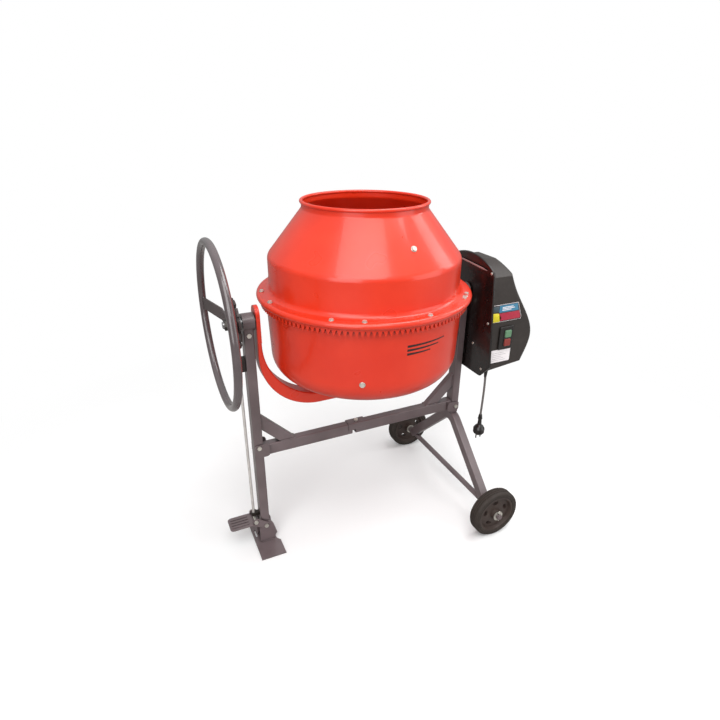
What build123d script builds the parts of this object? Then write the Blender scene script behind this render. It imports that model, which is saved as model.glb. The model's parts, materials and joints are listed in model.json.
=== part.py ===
from build123d import *
import os
from math import cos, radians, sin, tan

os.makedirs("parts", exist_ok=True)

# ---------------------------------------------------------------------------
# Driving dimensions (mm). X runs along the tilt axis towards the motor, Z is up.
# Everything is drawn with the drum's axis on X = 0; save() moves each piece by
# DRUM_X, so that the origin is on the ground at the middle of the whole machine.
# ---------------------------------------------------------------------------
TILT_Z = 825.0          # tilt axis above the ground
SHEET = 2.0             # drum and bracket sheet
RUN = 0.05              # radial clearance of a running fit

DRUM_R = 295.0          # cylinder of the upper drum shell
SHOULDER_Z = 994.0      # corner between the cylinder and the cone
NECK_R = 188.0          # collar at the mouth
NECK_Z = 1130.0
MOUTH_Z = 1148.5        # centre of the rolled bead
BEAD_R = 5.0
RING_Z = 888.0          # upper face of the flange where the two shells meet
FLANGE_R = 324.8        # outer edge of the shells' flanges
RING_R = 335.0          # outer edge of the ring gear's rolled lip
RING_LIP_R = 10.0
RING_SEAT_Z = RING_Z - 2 * SHEET
BOLT_RING_R = 318.0     # circle of the ring bolts
BUCKET_R = 308.0        # bucket wall below the flange
BUCKET_LOW_R = 298.0    # bucket wall at its lower corner, before rounding
BUCKET_LOW_Z = 634.0
BUCKET_Z = 570.0        # flat middle of the bucket's floor
FLOOR_R = 105.0         # edge of that flat
BASE_PLATE_T = 6.0
# the ring gear comes in segments, bolted in pairs near their joints (degrees)
RING_BOLT_ANGLES = (-173, -131, -115, -81, -47, -39, 7, 49, 65, 99, 133, 141, 167)

# one mixing blade: angle and radius about the drum's axis, and height, of its bolts and bends
BLADE_BOLTS = (((-83.5, 247.2, 1055.0), 38.0), ((-115.8, 300.5, 694.0), -2.3))
BLADE_BENDS = ((-83.5, 239.7, 1052.5), (-88.0, 196.0, 985.0), (-108.0, 196.0, 770.0), (-115.8, 282.0, 690.0))
BLADE_W = 42.0
BLADE_T = 4.0

RING_TEETH = 132
PINION_TEETH = 12
PITCH_R = 314.0         # pitch circle of the ring gear
MODULE = 2 * PITCH_R / RING_TEETH
PINION_R = MODULE * PINION_TEETH / 2
ADDENDUM = 0.9 * MODULE
DEDENDUM = 1.2 * MODULE
RING_DEDENDUM = 2.0 * MODULE     # the cast ring has deep gaps that shed grit
TOOTH_HALF = 0.67 * MODULE       # half of a tooth's thickness at the pitch line
FLANK = tan(radians(20))
TIP_HALF = TOOTH_HALF - ADDENDUM * FLANK
ROOT_HALF = TOOTH_HALF + RING_DEDENDUM * FLANK
PITCH_Z = TILT_Z + PINION_R      # pitch plane of the ring gear
RIM_Z = PITCH_Z + RING_DEDENDUM  # roots of the ring gear's teeth
GEAR_X0 = 312.5                  # face width of the ring gear's teeth
GEAR_X1 = 324.0

# hexagon bolts: shank radius, head radius over corners, head height
FRAME_BOLT = (4.0, 7.5, 5.3)
RING_BOLT = (3.0, 6.5, 5.0)
BLADE_BOLT = (4.0, 7.5, 5.0)
BIG_NUT_R = 17.0        # nuts on the three 20 mm shafts

POST_X = 380.0          # middle of both posts
POST_W = 30.0           # post section along X
POST_D = 40.0           # post section along Y
WALL = 2.0
BAR_Z0 = 356.0          # crossbar
BAR_Z1 = 396.0
BAR_MID_Z = (BAR_Z0 + BAR_Z1) / 2
BAR_D = 30.0
BAR_X = POST_X - POST_W / 2      # both outer ends of the crossbar
LAP_X0 = -45.0          # end of the front half
LAP_X1 = -32.0          # start of the rear half
SADDLE_X0 = -60.0       # saddle that laps over the front half
SADDLE_X1 = 6.0
LAP_BOLT_X = -26.0
EAR_T = 4.0             # ears of the crossbar and cheeks of the foot
HOUSING_R = 27.0        # trunnion bearing housings
HOUSING_W = 35.0        # their length along X
HOUSING_X = 360.0       # their inner faces
HOUSING_Z = 798.0       # top of the posts
FRONT_BAR_BOLT_Z = 396.0
REAR_BAR_BOLT_Z = 372.0
HOUSING_BOLT_Z = 789.0
BRACE_T = 55.0          # vertical width of a 45 degree brace
BRACE_Z = 509.0         # top of a brace
BRACE_D = 24.0

PLATE_X0 = 345.0        # yoke end plates
PLATE_X1 = 357.0
PLATE_Z0 = 762.0
PLATE_Z1 = 845.0        # centre of their round tops
YOKE_D = 56.0
YOKE_T = 33.0
YOKE_BEND = 190.0       # outer bend
YOKE_BEND_IN = 200.0    # inner bend; the arm thins towards its ends
YOKE_Z = 521.0          # underside of the yoke
YOKE_WALL = 3.0
DRUM_HOUSING_R = 25.0   # bearing housing under the drum
DRUM_BORE_R = 21.0

WHEEL_R = 90.0
WHEEL_X = 376.0
WHEEL_Y = 286.0         # inner face of a wheel
WHEEL_W = 48.0
AXLE_R = 10.0
AXLE_HALF = 348.0
COTTER_Y = 342.0
COTTER_R = 1.7
FORK_Y = 262.0          # feet of the rear fork
FORK_Z = 345.0          # where its legs would meet
FORK_TUBE = (30.0, 36.0)

SHAFT_R = 10.0          # pinion shaft and drum shaft
TRUNNION_R = 15.0
SLEEVE_R = 17.0
BUSH_R = 13.0
BUSH_L = 14.0
SLEEVE_L = 53.0

HANDWHEEL_R = 237.5
HANDWHEEL_TUBE = 11.5
HANDWHEEL_X = -463.0
DISC_R = 75.0           # notched disc of the tilt lock
DISC_X = -416.0
DISC_T = 6.0
HUB_X = -417.0          # shoulder of the front trunnion, where the handwheel's hub sits
HUB_L = 11.0
STRAP_T = 5.0
STRAP_W = 38.0
STRAP_FLAT = 95.0       # half length of the strap's flat middle

TRAY_X0 = 400.0         # drive housing
TRAY_X1 = 406.0
TRAY_T = 3.0
COVER_X1 = 597.0
COVER_HALF = 132.0
MOTOR_Z = 650.0
MOTOR_SHAFT_R = 7.0
SHIELD_X0 = 440.0       # motor: end shields, then the stack between them
STACK_X0 = 450.0
STACK_X1 = 540.0
SHIELD_X1 = 550.0
DRIVEN_R = 95.0
MOTOR_PULLEY_R = 10.0
BELT_X0 = 410.0
BELT_X1 = 426.0
BELT_GAP = 0.3
BELT_T = 4.0

SWITCH_X = 480.0        # middle of the switch box
SWITCH_Z = 680.0
BUTTON_X = 485.0
BUTTON = 26.0
BUTTON_GAP = 0.4
BUTTON_RISE = 16.0      # start button above the middle, stop button below it
CABLE_X = 435.0
CABLE_Y = -108.0
CABLE_R = 4.0
PLUG_Z = 305.0

ROD_X = -414.5          # tilt lock
ROD_R = 4.5
ROD_Z0 = 110.5
ROD_Z1 = 747.5
GUIDE_Z0 = 672.0        # upper guide of the rod
GUIDE_Z1 = 713.0
SPRING_R = 6.8
SPRING_WIRE = 0.9
COLLAR_Z = 736.0        # collar that the return spring pushes up
PEDAL_X0 = -502.0
PEDAL_X1 = -404.0
PEDAL_Z = 94.0
PEDAL_T = 3.0
PEDAL_HALF = 33.0
PIVOT_Z = 77.0
PIN_Z = 104.0           # pin that carries the rod
FOOT_X0 = -421.0
FOOT_X1 = -336.0
FOOT_Y0 = -105.0
FOOT_Y1 = 80.0

DRUM_X = -(COVER_X1 + PEDAL_X0) / 2


def save(part, label):
    """Move a finished piece into the machine's frame, name it and write it."""
    placed = part.moved(Location((DRUM_X, 0, 0)))
    placed.label = label
    export_step(placed, f"parts/{label}.step")


def along_y(x, y, z):
    """A plane whose normal runs along +Y, with its own x along X."""
    return Plane(origin=(x, y, z), x_dir=(1, 0, 0), z_dir=(0, 1, 0))


def along_x(x, y, z):
    """A plane whose normal runs along +X, with its own x along Y and y along Z."""
    return Plane(origin=(x, y, z), x_dir=(0, 1, 0), z_dir=(1, 0, 0))


def bolt(plane, size, length, nut=False):
    """A hexagon bolt: its head stands on the plane, its shank runs against the normal."""
    radius, head_r, head_h = size
    with BuildPart(mode=Mode.PRIVATE) as piece:
        with BuildSketch(plane):
            RegularPolygon(radius=head_r, side_count=6)
        extrude(amount=head_h)
        with BuildSketch(plane):
            Circle(radius)
        extrude(amount=-length)
        if nut:
            with BuildSketch(plane.offset(-length)):
                RegularPolygon(radius=head_r, side_count=6)
            extrude(amount=head_h)
    return piece.part


def polar(angle, radius, z):
    return Vector(radius * cos(radians(angle)), radius * sin(radians(angle)), z)


# ------------------------------ drum ---------------------------------------
with BuildPart() as ring_bolts:
    for angle in RING_BOLT_ANGLES:
        add(bolt(Plane(origin=polar(angle, BOLT_RING_R, RING_Z)), RING_BOLT, 20))
save(ring_bolts.part, "ring_bolts")

with BuildPart() as blade_bolts:
    for turn in (0, 180):
        for (angle, radius, z), rise in BLADE_BOLTS:
            out = polar(angle + turn, cos(radians(rise)), sin(radians(rise)))
            add(bolt(Plane(origin=polar(angle + turn, radius, z), z_dir=out), BLADE_BOLT, 30))
save(blade_bolts.part, "blade_bolts")

with BuildPart() as cone:
    with BuildSketch(Plane.XZ):
        with BuildLine():
            FilletPolyline(
                (FLANGE_R, RING_Z), (DRUM_R, RING_Z), (DRUM_R, SHOULDER_Z),
                (NECK_R, NECK_Z), (NECK_R, MOUTH_Z),
                radius=[14, 26, 8],
            )
            offset(amount=SHEET, side=Side.LEFT)
        make_face()
        with Locations((NECK_R, MOUTH_Z)):
            Circle(BEAD_R)
    revolve(axis=Axis.Z)
    add(ring_bolts.part, mode=Mode.SUBTRACT)
    add(blade_bolts.part, mode=Mode.SUBTRACT)
save(cone.part, "drum_cone")

with BuildPart() as bucket:
    with BuildSketch(Plane.XZ):
        with BuildLine():
            FilletPolyline(
                (0, BUCKET_Z), (FLOOR_R, BUCKET_Z), (BUCKET_LOW_R, BUCKET_LOW_Z),
                (BUCKET_R, RING_SEAT_Z), (FLANGE_R, RING_SEAT_Z),
                radius=[120, 75, 4],
            )
            offset(amount=SHEET, side=Side.LEFT)
        make_face()
    revolve(axis=Axis.Z)
    add(ring_bolts.part, mode=Mode.SUBTRACT)
    add(blade_bolts.part, mode=Mode.SUBTRACT)
save(bucket.part, "drum_bucket")

with BuildPart() as ring_gear:
    with BuildSketch(Plane.XZ):
        with BuildLine():
            Polyline(
                (RING_R - RING_LIP_R, RING_Z), (RING_R - RING_LIP_R, RING_SEAT_Z), (GEAR_X0, RING_SEAT_Z),
                (GEAR_X0, RIM_Z), (GEAR_X1, RIM_Z), (GEAR_X1, RING_Z - 2 * RING_LIP_R),
                (RING_R - RING_LIP_R, RING_Z - 2 * RING_LIP_R),
            )
            ThreePointArc(
                (RING_R - RING_LIP_R, RING_Z - 2 * RING_LIP_R), (RING_R, RING_Z - RING_LIP_R),
                (RING_R - RING_LIP_R, RING_Z),
            )
        make_face()
    revolve(axis=Axis.Z)
    with BuildSketch(Plane.YZ.offset(GEAR_X0)):
        with BuildLine():
            Polyline(
                (-TIP_HALF, PITCH_Z - ADDENDUM), (TIP_HALF, PITCH_Z - ADDENDUM),
                (ROOT_HALF, RIM_Z + 1), (-ROOT_HALF, RIM_Z + 1), close=True,
            )
        make_face()
    tooth = extrude(amount=GEAR_X1 - GEAR_X0, mode=Mode.PRIVATE)
    with PolarLocations(0, RING_TEETH, start_angle=180 / RING_TEETH):
        add(tooth)
    add(ring_bolts.part, mode=Mode.SUBTRACT)
save(ring_gear.part, "ring_gear")

# mixing blades: flat bars bent to stand off the wall, one on each side
with BuildPart() as blades:
    with BuildLine() as blade_path:
        Polyline(*[polar(*bend) for bend in BLADE_BENDS])
    with BuildSketch(Plane(origin=blade_path.line @ 0, z_dir=blade_path.line % 0, x_dir=(1, 0, 0))):
        Rectangle(BLADE_W, BLADE_T)
    sweep(path=blade_path.line, transition=Transition.RIGHT)
    add(blades.part.rotate(Axis.Z, 180))
    add(blade_bolts.part, mode=Mode.SUBTRACT)
save(blades.part, "mixing_blades")

with BuildPart() as base_plate:
    with BuildSketch(Plane.XY.offset(BUCKET_Z)):
        Circle(70)
    extrude(amount=-BASE_PLATE_T)
save(base_plate.part, "drum_base_plate")

with BuildPart() as drum_shaft:
    with BuildSketch(Plane.XY.offset(BUCKET_Z - BASE_PLATE_T)):
        Circle(SHAFT_R)
    extrude(amount=-62)
save(drum_shaft.part, "drum_shaft")

with BuildPart() as drum_nut:
    with BuildSketch(Plane.XY.offset(YOKE_Z - 14)):
        RegularPolygon(radius=BIG_NUT_R, side_count=6)
        Circle(SHAFT_R, mode=Mode.SUBTRACT)
    extrude(amount=10)
save(drum_nut.part, "drum_nut")

# ------------------------------ yoke ---------------------------------------
with BuildPart() as yoke_arm:
    with BuildSketch(Plane.XZ) as yoke_face:
        with BuildLine():
            outer = FilletPolyline(
                (0, YOKE_Z), (PLATE_X1, YOKE_Z), (PLATE_X1, PLATE_Z0), radius=YOKE_BEND,
            )
            inner = FilletPolyline(
                (0, YOKE_Z + YOKE_T), (PLATE_X0, YOKE_Z + YOKE_T), (PLATE_X0, PLATE_Z0), radius=YOKE_BEND_IN,
            )
            Line(outer @ 1, inner @ 1)
            Line(outer @ 0, inner @ 0)
        make_face()
        mirror(about=Plane.YZ)
    extrude(amount=YOKE_D / 2, both=True)
    fillet(yoke_arm.edges().filter_by(lambda e: e.length > 200 and e.center().Y != 0), 5)
    with BuildSketch(Plane.XZ):
        add(yoke_face.sketch)
        offset(amount=-YOKE_WALL)
    extrude(amount=YOKE_D / 2 - YOKE_WALL, both=True, mode=Mode.SUBTRACT)
    with BuildSketch(Plane.XY.offset(YOKE_Z - 10)):
        Circle(DRUM_HOUSING_R)
    extrude(amount=60, mode=Mode.SUBTRACT)
save(yoke_arm.part, "yoke_arm")


def end_plate(side, hole_r):
    x0 = PLATE_X0 if side > 0 else -PLATE_X1
    with BuildPart(mode=Mode.PRIVATE) as plate:
        with BuildSketch(along_x(x0, 0, 0)):
            with Locations((0, (PLATE_Z0 + PLATE_Z1) / 2)):
                Rectangle(YOKE_D, PLATE_Z1 - PLATE_Z0)
            with Locations((0, PLATE_Z1)):
                Circle(YOKE_D / 2)
            with Locations((0, TILT_Z)):
                Circle(hole_r, mode=Mode.SUBTRACT)
        extrude(amount=PLATE_X1 - PLATE_X0)
    return plate.part


save(end_plate(-1, TRUNNION_R) + end_plate(1, SLEEVE_R), "yoke_plates")

with BuildPart() as drum_housing:
    with BuildSketch(Plane.XY.offset(YOKE_Z)):
        Circle(DRUM_HOUSING_R)
        Circle(DRUM_BORE_R, mode=Mode.SUBTRACT)
    extrude(amount=39)
save(drum_housing.part, "drum_bearing_housing")

with BuildPart() as drum_bearings:
    for z in (YOKE_Z + 1, YOKE_Z + 25):
        with BuildSketch(Plane.XZ):
            with Locations(((SHAFT_R + DRUM_BORE_R + RUN) / 2, z + 6)):
                Rectangle(DRUM_BORE_R - SHAFT_R - RUN, 12)
                with Locations((0, 6), (0, -6)):
                    Rectangle(6, 1.2, mode=Mode.SUBTRACT)
        revolve(axis=Axis.Z)
save(drum_bearings.part, "drum_bearings")

with BuildPart() as front_trunnion:
    with BuildSketch(along_x(-PLATE_X0, 0, TILT_Z)):
        Circle(TRUNNION_R)
    extrude(amount=HUB_X + PLATE_X0)
    with BuildSketch(along_x(HUB_X, 0, TILT_Z)):
        Circle(SHAFT_R)
    extrude(amount=-32)
save(front_trunnion.part, "front_trunnion")

with BuildPart() as lock_disc:
    with BuildSketch(along_x(DISC_X, 0, TILT_Z)):
        Circle(DISC_R)
        with PolarLocations(DISC_R - 3, 12):
            Rectangle(20, 13, mode=Mode.SUBTRACT)
        Circle(TRUNNION_R, mode=Mode.SUBTRACT)
    extrude(amount=DISC_T)
    with BuildSketch(along_x(DISC_X + DISC_T, 0, TILT_Z)):
        Circle(21)
        Circle(TRUNNION_R, mode=Mode.SUBTRACT)
    extrude(amount=9)
save(lock_disc.part, "lock_disc")

with BuildPart() as handwheel_rim:
    with Locations(Location((HANDWHEEL_X, 0, TILT_Z), (0, 90, 0))):
        Torus(HANDWHEEL_R, HANDWHEEL_TUBE)
save(handwheel_rim.part, "handwheel_rim")

with BuildPart() as handwheel_hub:
    with BuildSketch(along_x(HUB_X, 0, TILT_Z)):
        Circle(28)
        Circle(SHAFT_R, mode=Mode.SUBTRACT)
    extrude(amount=-HUB_L)
save(handwheel_hub.part, "handwheel_hub")

STRAP_X = HUB_X - HUB_L
with BuildPart() as strap:
    with BuildSketch(Plane.XY.offset(TILT_Z)):
        with BuildLine():
            FilletPolyline(
                (HANDWHEEL_X + 2, HANDWHEEL_R - HANDWHEEL_TUBE + 1.5), (STRAP_X, STRAP_FLAT), (STRAP_X, 0),
                radius=25,
            )
            offset(amount=STRAP_T, side=Side.RIGHT)
        make_face()
        mirror(about=Plane.XZ)
    extrude(amount=STRAP_W / 2, both=True)
    with BuildSketch(along_x(HUB_X, 0, TILT_Z)):
        Circle(SHAFT_R)
    extrude(amount=-40, mode=Mode.SUBTRACT)
    with Locations(Location((HANDWHEEL_X, 0, TILT_Z), (0, 90, 0))):
        Torus(HANDWHEEL_R, HANDWHEEL_TUBE, mode=Mode.SUBTRACT)
save(strap.part, "handwheel_strap")

with BuildPart() as hub_nut:
    with BuildSketch(along_x(STRAP_X - STRAP_T, 0, TILT_Z)):
        RegularPolygon(radius=BIG_NUT_R, side_count=6)
        Circle(SHAFT_R, mode=Mode.SUBTRACT)
    extrude(amount=-11)
save(hub_nut.part, "handwheel_nut")

with BuildPart() as sleeve:
    with BuildSketch(along_x(PLATE_X0, 0, TILT_Z)):
        Circle(SLEEVE_R)
        Circle(BUSH_R, mode=Mode.SUBTRACT)
    extrude(amount=SLEEVE_L)
save(sleeve.part, "rear_trunnion")

with BuildPart() as bushes:
    for start in (0, SLEEVE_L - BUSH_L):
        with BuildSketch(along_x(PLATE_X0 + start, 0, TILT_Z)):
            Circle(BUSH_R)
            Circle(SHAFT_R + RUN, mode=Mode.SUBTRACT)
        extrude(amount=BUSH_L)
save(bushes.part, "trunnion_bushes")

# ------------------------- pinion shaft ------------------------------------
with BuildPart() as pinion:
    with BuildSketch(along_x(GEAR_X0 - 1.5, 0, TILT_Z)):
        Circle(PINION_R - DEDENDUM + 0.6)
        with BuildLine():
            Polyline(
                (-TIP_HALF, PINION_R + ADDENDUM), (TIP_HALF, PINION_R + ADDENDUM),
                (TOOTH_HALF + 3 * FLANK, PINION_R - DEDENDUM),
                (-TOOTH_HALF - 3 * FLANK, PINION_R - DEDENDUM), close=True,
            )
        pinion_tooth = make_face(mode=Mode.PRIVATE)
        with PolarLocations(0, PINION_TEETH):
            add(pinion_tooth)
        Circle(SHAFT_R, mode=Mode.SUBTRACT)
    extrude(amount=18)
save(pinion.part, "pinion")

with BuildPart() as pinion_shaft:
    with BuildSketch(along_x(309, 0, TILT_Z)):
        Circle(SHAFT_R)
    extrude(amount=131)
save(pinion_shaft.part, "pinion_shaft")

with BuildPart() as driven_pulley:
    with BuildSketch(Plane.XZ.offset(0)):
        with BuildLine():
            Polyline(
                (BELT_X0 - 1, SHAFT_R), (BELT_X1 + 1, SHAFT_R), (BELT_X1 + 1, 22),
                (BELT_X0 + 12, 22), (BELT_X0 + 12, DRIVEN_R - 12), (BELT_X1 + 1, DRIVEN_R - 12),
                (BELT_X1 + 1, DRIVEN_R), (BELT_X0 - 1, DRIVEN_R), (BELT_X0 - 1, DRIVEN_R - 12),
                (BELT_X0 + 6, DRIVEN_R - 12), (BELT_X0 + 6, 22), (BELT_X0 - 1, 22), close=True,
            )
        make_face()
        with Locations(((BELT_X0 + BELT_X1) / 2, DRIVEN_R)):
            with GridLocations(3.2, 1, 5, 1):
                Rectangle(1.6, 3, rotation=45, mode=Mode.SUBTRACT)
    revolve(axis=Axis.X)
    with BuildSketch(along_x(BELT_X0, 0, 0)):
        with PolarLocations(52, 5):
            Circle(17)
    extrude(amount=20, mode=Mode.SUBTRACT)
save(driven_pulley.part.moved(Location((0, 0, TILT_Z))), "driven_pulley")

with BuildPart() as pulley_nut:
    with BuildSketch(along_x(BELT_X1 + 1, 0, TILT_Z)):
        RegularPolygon(radius=BIG_NUT_R, side_count=6)
        Circle(SHAFT_R, mode=Mode.SUBTRACT)
    extrude(amount=9)
save(pulley_nut.part, "pulley_nut")

# ------------------------------ stand --------------------------------------
def post(x, z0, z1, bolt_heights, label):
    with BuildPart() as tube:
        with BuildSketch(Plane.XY.offset(z0)):
            with Locations((x, 0)):
                RectangleRounded(POST_W, POST_D, 4)
                RectangleRounded(POST_W - 2 * WALL, POST_D - 2 * WALL, 2, mode=Mode.SUBTRACT)
        extrude(amount=z1 - z0)
        with BuildSketch(along_y(x, -POST_D, 0)):
            with Locations(*[(0, -z) for z in bolt_heights]):
                Circle(FRAME_BOLT[0])
        extrude(amount=2 * POST_D, mode=Mode.SUBTRACT)
    save(tube.part, label)


def housing(side, bore):
    """Trunnion bearing: a tube on a saddle, with a spigot down inside the post."""
    post_x = side * POST_X
    x0 = HOUSING_X if side > 0 else -HOUSING_X - HOUSING_W
    with BuildPart(mode=Mode.PRIVATE) as body:
        with BuildSketch(Plane.XY.offset(HOUSING_Z)):
            with Locations((post_x, 0)):
                RectangleRounded(POST_W, POST_D, 4)
        extrude(amount=TILT_Z - HOUSING_Z)
        with BuildSketch(Plane.XY.offset(HOUSING_Z)):
            with Locations((post_x, 0)):
                RectangleRounded(POST_W - 2 * WALL, POST_D - 2 * WALL, 2)
        extrude(amount=-30)
        with BuildSketch(along_x(x0, 0, TILT_Z)):
            Circle(HOUSING_R)
        extrude(amount=HOUSING_W)
        with BuildSketch(along_x(x0, 0, TILT_Z)):
            Circle(bore)
        extrude(amount=HOUSING_W, mode=Mode.SUBTRACT)
        with BuildSketch(along_y(post_x, -POST_D, 0)):
            with Locations((0, -HOUSING_BOLT_Z)):
                Circle(FRAME_BOLT[0])
        extrude(amount=2 * POST_D, mode=Mode.SUBTRACT)
    return body.part


post(-POST_X, 4, HOUSING_Z, (PIVOT_Z, FRONT_BAR_BOLT_Z, HOUSING_BOLT_Z), "front_post")
post(POST_X, FORK_Z - 2.3, HOUSING_Z, (REAR_BAR_BOLT_Z, HOUSING_BOLT_Z), "rear_post")
save(housing(-1, TRUNNION_R + RUN) + housing(1, SLEEVE_R + RUN), "bearing_housings")

with BuildPart() as fork:
    with BuildLine(Plane.YZ.offset(POST_X)) as fork_path:
        FilletPolyline(
            (-FORK_Y, FORK_Z - FORK_Y + 3), (0, FORK_Z), (FORK_Y, FORK_Z - FORK_Y + 3), radius=50,
        )
    with BuildSketch(Plane(origin=fork_path.line @ 0, z_dir=fork_path.line % 0, x_dir=(1, 0, 0))):
        RectangleRounded(*FORK_TUBE, 5)
        RectangleRounded(FORK_TUBE[0] - 2 * WALL, FORK_TUBE[1] - 2 * WALL, 3, mode=Mode.SUBTRACT)
    sweep(path=fork_path.line)
    with BuildSketch(along_y(WHEEL_X, -AXLE_HALF, WHEEL_R)):
        Circle(AXLE_R)
    extrude(amount=2 * AXLE_HALF, mode=Mode.SUBTRACT)
save(fork.part, "rear_fork")

with BuildPart() as axle:
    with BuildSketch(along_y(WHEEL_X, -AXLE_HALF, WHEEL_R)):
        Circle(AXLE_R)
    extrude(amount=2 * AXLE_HALF)
    for y in (-COTTER_Y, COTTER_Y):
        with BuildSketch(Plane(origin=(WHEEL_X, y, WHEEL_R - 20))):
            Circle(COTTER_R)
        extrude(amount=40, mode=Mode.SUBTRACT)
save(axle.part, "axle")

with BuildPart() as axle_fasteners:
    for y in (-338.5, -285.5, 282.5, 335.5):
        with BuildSketch(along_y(WHEEL_X, y, WHEEL_R)):
            Circle(18)
            Circle(AXLE_R, mode=Mode.SUBTRACT)
        extrude(amount=3)
    for y in (-COTTER_Y, COTTER_Y):
        with BuildSketch(Plane(origin=(WHEEL_X, y, WHEEL_R - 17))):
            Circle(COTTER_R)
        extrude(amount=31)
        with Locations(Location((WHEEL_X, y, WHEEL_R + 18), (90, 0, 0))):
            Torus(4, 1.6)
save(axle_fasteners.part, "axle_washers_and_pins")

with BuildPart() as front_bar:
    with BuildSketch(along_x(-BAR_X, 0, BAR_MID_Z)):
        RectangleRounded(BAR_D, BAR_Z1 - BAR_Z0, 4)
        RectangleRounded(BAR_D - 2 * WALL, BAR_Z1 - BAR_Z0 - 2 * WALL, 2, mode=Mode.SUBTRACT)
    extrude(amount=LAP_X0 + BAR_X)
    for y in (-POST_D / 2 - EAR_T, POST_D / 2):
        with BuildSketch(along_y(-BAR_X - 5, y, 0)):
            with Locations((0, -BAR_MID_Z - 6)):
                RectangleRounded(48, BAR_Z1 - BAR_Z0 + 8, 10)
        extrude(amount=EAR_T)
    for y in (-POST_D / 2, BAR_D / 2):
        with BuildSketch(along_y(-BAR_X + 10, y, 0)):
            with Locations((0, -BAR_MID_Z)):
                Rectangle(18, 36)
        extrude(amount=(POST_D - BAR_D) / 2)
    with BuildSketch(along_y(-POST_X, -POST_D, 0)):
        with Locations((0, -FRONT_BAR_BOLT_Z)):
            Circle(FRAME_BOLT[0])
    extrude(amount=2 * POST_D, mode=Mode.SUBTRACT)
save(front_bar.part, "front_crossbar")

with BuildPart() as rear_bar:
    with BuildSketch(along_x(LAP_X1, 0, BAR_MID_Z)):
        RectangleRounded(BAR_D, BAR_Z1 - BAR_Z0, 4)
        RectangleRounded(BAR_D - 2 * WALL, BAR_Z1 - BAR_Z0 - 2 * WALL, 2, mode=Mode.SUBTRACT)
    extrude(amount=BAR_X - LAP_X1)
    # the saddle that laps over the front half
    with BuildSketch(along_x(SADDLE_X0, 0, 0)):
        with Locations((0, BAR_Z1 - 11)):
            RectangleRounded(BAR_D + 6, 28, 4)
        with Locations((0, BAR_Z1 - 12.5)):
            Rectangle(BAR_D, 25, mode=Mode.SUBTRACT)
    extrude(amount=SADDLE_X1 - SADDLE_X0)
    for y in (-POST_D / 2 - EAR_T, POST_D / 2):
        with BuildSketch(along_y(BAR_X + 5, y, 0)):
            with Locations((0, -REAR_BAR_BOLT_Z)):
                RectangleRounded(48, 38, 10)
        extrude(amount=EAR_T)
    for y in (-POST_D / 2, BAR_D / 2):
        with BuildSketch(along_y(BAR_X - 10, y, 0)):
            with Locations((0, -BAR_MID_Z)):
                Rectangle(18, 32)
        extrude(amount=(POST_D - BAR_D) / 2)
    with BuildSketch(along_y(POST_X, -POST_D, 0)):
        with Locations((0, -REAR_BAR_BOLT_Z)):
            Circle(FRAME_BOLT[0])
    extrude(amount=2 * POST_D, mode=Mode.SUBTRACT)
    with BuildSketch(Plane.XY.offset(BAR_Z1 - 4)):
        with Locations((LAP_BOLT_X, 0)):
            Circle(FRAME_BOLT[0])
    extrude(amount=20, mode=Mode.SUBTRACT)
save(rear_bar.part, "rear_crossbar")


def brace(side):
    """A 45 degree strut between a post and the crossbar."""
    x = side * BAR_X
    rise = BRACE_Z - BAR_Z1
    with BuildPart(mode=Mode.PRIVATE) as body:
        with BuildSketch(Plane.XZ.offset(-BRACE_D / 2)):
            with BuildLine():
                Polyline(
                    (x, BAR_Z1 + rise), (x - side * rise, BAR_Z1),
                    (x - side * (rise - BRACE_T), BAR_Z1), (x, BAR_Z1 + rise - BRACE_T),
                    close=True,
                )
            make_face()
        extrude(amount=BRACE_D)
        fillet(body.edges().filter_by(lambda e: abs(e.center().Y) > 11 and e.length > 70), 4)
    return body.part


save(brace(-1) + brace(1), "braces")

# ------------------------------ foot ---------------------------------------
with BuildPart() as foot:
    with BuildSketch(Plane.XY) as sole:
        with Locations(((FOOT_X0 + FOOT_X1) / 2, (FOOT_Y0 + FOOT_Y1) / 2)):
            Rectangle(FOOT_X1 - FOOT_X0, FOOT_Y1 - FOOT_Y0)
        inner = sole.vertices().group_by(Axis.X)[-1].sort_by(Axis.Y)
        fillet(inner[-1], 30)
        # a notch in the inner edge and a slot beside the outer cheek
        with Locations((FOOT_X1 + 13, -17)):
            Circle(24, mode=Mode.SUBTRACT)
        with Locations((-410, 25)):
            SlotOverall(36, 6, rotation=90, mode=Mode.SUBTRACT)
    extrude(amount=EAR_T)
    for y in (-POST_D / 2 - EAR_T, POST_D / 2):
        with BuildSketch(along_y(0, y, 0)):
            with BuildLine():
                FilletPolyline(
                    (-403, -EAR_T), (-403, -60), (-396, -90), (-362, -90), (-352, -66), (-352, -EAR_T),
                    radius=[10, 9, 12, 10],
                )
                Line((-352, -EAR_T), (-403, -EAR_T))
            make_face()
            with Locations((-POST_X, -PIVOT_Z)):
                Circle(FRAME_BOLT[0], mode=Mode.SUBTRACT)
        extrude(amount=EAR_T)
save(foot.part, "foot_plate")

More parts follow.
